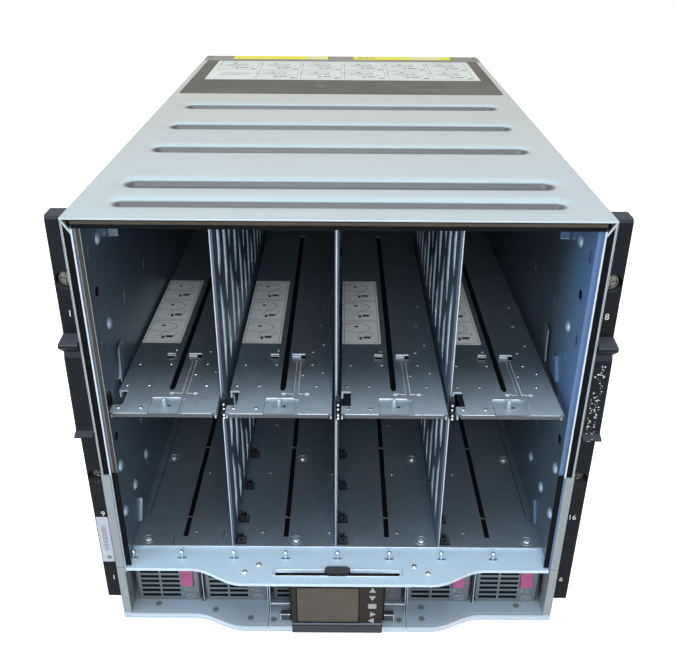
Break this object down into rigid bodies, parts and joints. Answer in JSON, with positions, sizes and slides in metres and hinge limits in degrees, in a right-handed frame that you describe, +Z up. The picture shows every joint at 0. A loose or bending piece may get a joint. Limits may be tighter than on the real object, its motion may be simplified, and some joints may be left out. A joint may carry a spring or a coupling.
{
  "type": "blade server chassis",
  "caption": "Rack-mounted blade server enclosure with open blade bays over sliding power supplies, a sliding and tilting display, and a rear of fans, blanks, managers and inlets.",
  "frame": {"origin": "centre of the plan outline, on the underside of the base", "axes": "+Y from the open blade bays to the rear, +Z up, +X to the right seen from the front"},
  "size_m": [0.4826, 0.828, 0.442],
  "materials": {
    "skin": "zinc-coated steel sheet",
    "cover": "pale grey satin sheet",
    "rear_sheet": "brown-grey satin sheet",
    "liner": "dark zinc-coated sheet in the shade of the bays",
    "deck": "blue-grey zinc-coated sheet",
    "arm": "silver-grey satin paint",
    "pin": "turned steel",
    "moulding": "fine-grained black moulding",
    "display_case": "brown-grey smooth moulding",
    "screen": "unlit display glass",
    "key": "grey silicone key",
    "board": "green circuit board with dark connectors",
    "module": "dark grey satin",
    "fan": "black fan moulding",
    "supply": "blue-grey satin with a moulded face",
    "latch": "port-red touch-point plastic"
  },
  "bodies": {
    "enclosure": {"base_pan": "skin", "side_panel_left": "skin", "side_panel_right": "skin", "blade_cage": "liner", "top_cover": "cover", "rear_cage": "rear_sheet", "front_frame": "arm", "blade_deck": "deck", "zone_divider_1": "liner", "zone_divider_2": "liner", "zone_divider_3": "liner", "shelf_ledges": "liner", "divider_clips": "moulding", "blade_pins": "pin", "supply_walls": "liner", "midplane": "board", "ear_bezels": "moulding", "rack_screws": "pin", "interconnect_blanks": "module", "management_modules": "module", "inlet_panel": "module", "fan_frames": "fan"},
    "display_carriage": {"display_carriage": "moulding"},
    "display": {"display_housing": "display_case", "display_screen": "screen"},
    "key_up": {"key_up": "key"},
    "key_down": {"key_down": "key"},
    "key_ok": {"key_ok": "key"},
    "key_right": {"key_right": "key"},
    "key_left": {"key_left": "key"},
    "bay_shelf_1": {"bay_shelf_1": "deck"},
    "shelf_lock_1": {"shelf_lock_1": "deck"},
    "bay_shelf_2": {"bay_shelf_2": "deck"},
    "shelf_lock_2": {"shelf_lock_2": "deck"},
    "bay_shelf_3": {"bay_shelf_3": "deck"},
    "shelf_lock_3": {"shelf_lock_3": "deck"},
    "bay_shelf_4": {"bay_shelf_4": "deck"},
    "shelf_lock_4": {"shelf_lock_4": "deck"},
    "power_supply_1": {"power_supply_1": "supply"},
    "supply_latch_1": {"supply_latch_1": "latch"},
    "power_supply_2": {"power_supply_2": "supply"},
    "supply_latch_2": {"supply_latch_2": "latch"},
    "power_supply_3": {"power_supply_3": "supply"},
    "supply_latch_3": {"supply_latch_3": "latch"},
    "power_supply_4": {"power_supply_4": "supply"},
    "supply_latch_4": {"supply_latch_4": "latch"},
    "power_supply_5": {"power_supply_5": "supply"},
    "supply_latch_5": {"supply_latch_5": "latch"},
    "power_supply_6": {"power_supply_6": "supply"},
    "supply_latch_6": {"supply_latch_6": "latch"},
    "fan_rotor_1": {"fan_rotor_1": "fan"},
    "fan_rotor_2": {"fan_rotor_2": "fan"},
    "fan_rotor_3": {"fan_rotor_3": "fan"},
    "fan_rotor_4": {"fan_rotor_4": "fan"},
    "fan_rotor_5": {"fan_rotor_5": "fan"},
    "fan_rotor_6": {"fan_rotor_6": "fan"},
    "fan_rotor_7": {"fan_rotor_7": "fan"},
    "fan_rotor_8": {"fan_rotor_8": "fan"},
    "fan_rotor_9": {"fan_rotor_9": "fan"},
    "fan_rotor_10": {"fan_rotor_10": "fan"}
  },
  "joints": [
    {"name": "display_slide", "type": "slide", "parent": "enclosure", "child": "display_carriage", "axis": [1, 0, 0], "range_m": [-0.048, 0.048]},
    {"name": "display_tilt", "type": "hinge", "parent": "display_carriage", "child": "display", "pos_m": [0, -0.406, 0.058], "axis": [1, 0, 0], "range_deg": [-45, 0]},
    {"name": "key_up_press", "type": "slide", "parent": "display", "child": "key_up", "axis": [0, 1, 0], "range_m": [0, 0.001], "stiffness_N_per_m": 300},
    {"name": "key_down_press", "type": "slide", "parent": "display", "child": "key_down", "axis": [0, 1, 0], "range_m": [0, 0.001], "stiffness_N_per_m": 300},
    {"name": "key_ok_press", "type": "slide", "parent": "display", "child": "key_ok", "axis": [0, 1, 0], "range_m": [0, 0.001], "stiffness_N_per_m": 300},
    {"name": "key_right_press", "type": "slide", "parent": "display", "child": "key_right", "axis": [0, 1, 0], "range_m": [0, 0.001], "stiffness_N_per_m": 300},
    {"name": "key_left_press", "type": "slide", "parent": "display", "child": "key_left", "axis": [0, 1, 0], "range_m": [0, 0.001], "stiffness_N_per_m": 300},
    {"name": "shelf_1_slide", "type": "slide", "parent": "enclosure", "child": "bay_shelf_1", "axis": [0, 1, 0], "range_m": [0, 0.012]},
    {"name": "lock_1_slide", "type": "slide", "parent": "bay_shelf_1", "child": "shelf_lock_1", "axis": [1, 0, 0], "range_m": [0, 0.0035]},
    {"name": "shelf_2_slide", "type": "slide", "parent": "enclosure", "child": "bay_shelf_2", "axis": [0, 1, 0], "range_m": [0, 0.012]},
    {"name": "lock_2_slide", "type": "slide", "parent": "bay_shelf_2", "child": "shelf_lock_2", "axis": [1, 0, 0], "range_m": [0, 0.0035]},
    {"name": "shelf_3_slide", "type": "slide", "parent": "enclosure", "child": "bay_shelf_3", "axis": [0, 1, 0], "range_m": [0, 0.012]},
    {"name": "lock_3_slide", "type": "slide", "parent": "bay_shelf_3", "child": "shelf_lock_3", "axis": [1, 0, 0], "range_m": [0, 0.0035]},
    {"name": "shelf_4_slide", "type": "slide", "parent": "enclosure", "child": "bay_shelf_4", "axis": [0, 1, 0], "range_m": [0, 0.012]},
    {"name": "lock_4_slide", "type": "slide", "parent": "bay_shelf_4", "child": "shelf_lock_4", "axis": [1, 0, 0], "range_m": [0, 0.0035]},
    {"name": "supply_1_slide", "type": "slide", "parent": "enclosure", "child": "power_supply_1", "axis": [0, -1, 0], "range_m": [0, 0.55]},
    {"name": "latch_1_turn", "type": "hinge", "parent": "power_supply_1", "child": "supply_latch_1", "pos_m": [-0.15887, -0.369, 0.0569], "axis": [1, 0, 0], "range_deg": [0, 8], "stiffness_Nm_per_rad": 0.2},
    {"name": "supply_2_slide", "type": "slide", "parent": "enclosure", "child": "power_supply_2", "axis": [0, -1, 0], "range_m": [0, 0.55]},
    {"name": "latch_2_turn", "type": "hinge", "parent": "power_supply_2", "child": "supply_latch_2", "pos_m": [-0.0872, -0.369, 0.0569], "axis": [1, 0, 0], "range_deg": [0, 8], "stiffness_Nm_per_rad": 0.2},
    {"name": "supply_3_slide", "type": "slide", "parent": "enclosure", "child": "power_supply_3", "axis": [0, -1, 0], "range_m": [0, 0.012]},
    {"name": "latch_3_turn", "type": "hinge", "parent": "power_supply_3", "child": "supply_latch_3", "pos_m": [-0.01553, -0.369, 0.0569], "axis": [1, 0, 0], "range_deg": [0, 8], "stiffness_Nm_per_rad": 0.2},
    {"name": "supply_4_slide", "type": "slide", "parent": "enclosure", "child": "power_supply_4", "axis": [0, -1, 0], "range_m": [0, 0.012]},
    {"name": "latch_4_turn", "type": "hinge", "parent": "power_supply_4", "child": "supply_latch_4", "pos_m": [0.05613, -0.369, 0.0569], "axis": [1, 0, 0], "range_deg": [0, 8], "stiffness_Nm_per_rad": 0.2},
    {"name": "supply_5_slide", "type": "slide", "parent": "enclosure", "child": "power_supply_5", "axis": [0, 1, 0], "range_m": [-0.55, 0]},
    {"name": "latch_5_turn", "type": "hinge", "parent": "power_supply_5", "child": "supply_latch_5", "pos_m": [0.1278, -0.369, 0.0569], "axis": [1, 0, 0], "range_deg": [0, 8], "stiffness_Nm_per_rad": 0.2},
    {"name": "supply_6_slide", "type": "slide", "parent": "enclosure", "child": "power_supply_6", "axis": [0, 1, 0], "range_m": [-0.55, 0]},
    {"name": "latch_6_turn", "type": "hinge", "parent": "power_supply_6", "child": "supply_latch_6", "pos_m": [0.19947, -0.369, 0.0569], "axis": [1, 0, 0], "range_deg": [0, 8], "stiffness_Nm_per_rad": 0.2},
    {"name": "fan_1_spin", "type": "hinge", "parent": "enclosure", "child": "fan_rotor_1", "pos_m": [-0.17752, 0.389, 0.3968], "axis": [0, 1, 0], "continuous": true},
    {"name": "fan_2_spin", "type": "hinge", "parent": "enclosure", "child": "fan_rotor_2", "pos_m": [-0.08876, 0.389, 0.3968], "axis": [0, 1, 0], "continuous": true},
    {"name": "fan_3_spin", "type": "hinge", "parent": "enclosure", "child": "fan_rotor_3", "pos_m": [0, 0.389, 0.3968], "axis": [0, 1, 0], "continuous": true},
    {"name": "fan_4_spin", "type": "hinge", "parent": "enclosure", "child": "fan_rotor_4", "pos_m": [0.08876, 0.389, 0.3968], "axis": [0, 1, 0], "continuous": true},
    {"name": "fan_5_spin", "type": "hinge", "parent": "enclosure", "child": "fan_rotor_5", "pos_m": [0.17752, 0.389, 0.3968], "axis": [0, 1, 0], "continuous": true},
    {"name": "fan_6_spin", "type": "hinge", "parent": "enclosure", "child": "fan_rotor_6", "pos_m": [-0.17752, 0.389, 0.0974], "axis": [0, 1, 0], "continuous": true},
    {"name": "fan_7_spin", "type": "hinge", "parent": "enclosure", "child": "fan_rotor_7", "pos_m": [-0.08876, 0.389, 0.0974], "axis": [0, 1, 0], "continuous": true},
    {"name": "fan_8_spin", "type": "hinge", "parent": "enclosure", "child": "fan_rotor_8", "pos_m": [0, 0.389, 0.0974], "axis": [0, 1, 0], "continuous": true},
    {"name": "fan_9_spin", "type": "hinge", "parent": "enclosure", "child": "fan_rotor_9", "pos_m": [0.08876, 0.389, 0.0974], "axis": [0, 1, 0], "continuous": true},
    {"name": "fan_10_spin", "type": "hinge", "parent": "enclosure", "child": "fan_rotor_10", "pos_m": [0.17752, 0.389, 0.0974], "axis": [0, 1, 0], "continuous": true}
  ]
}
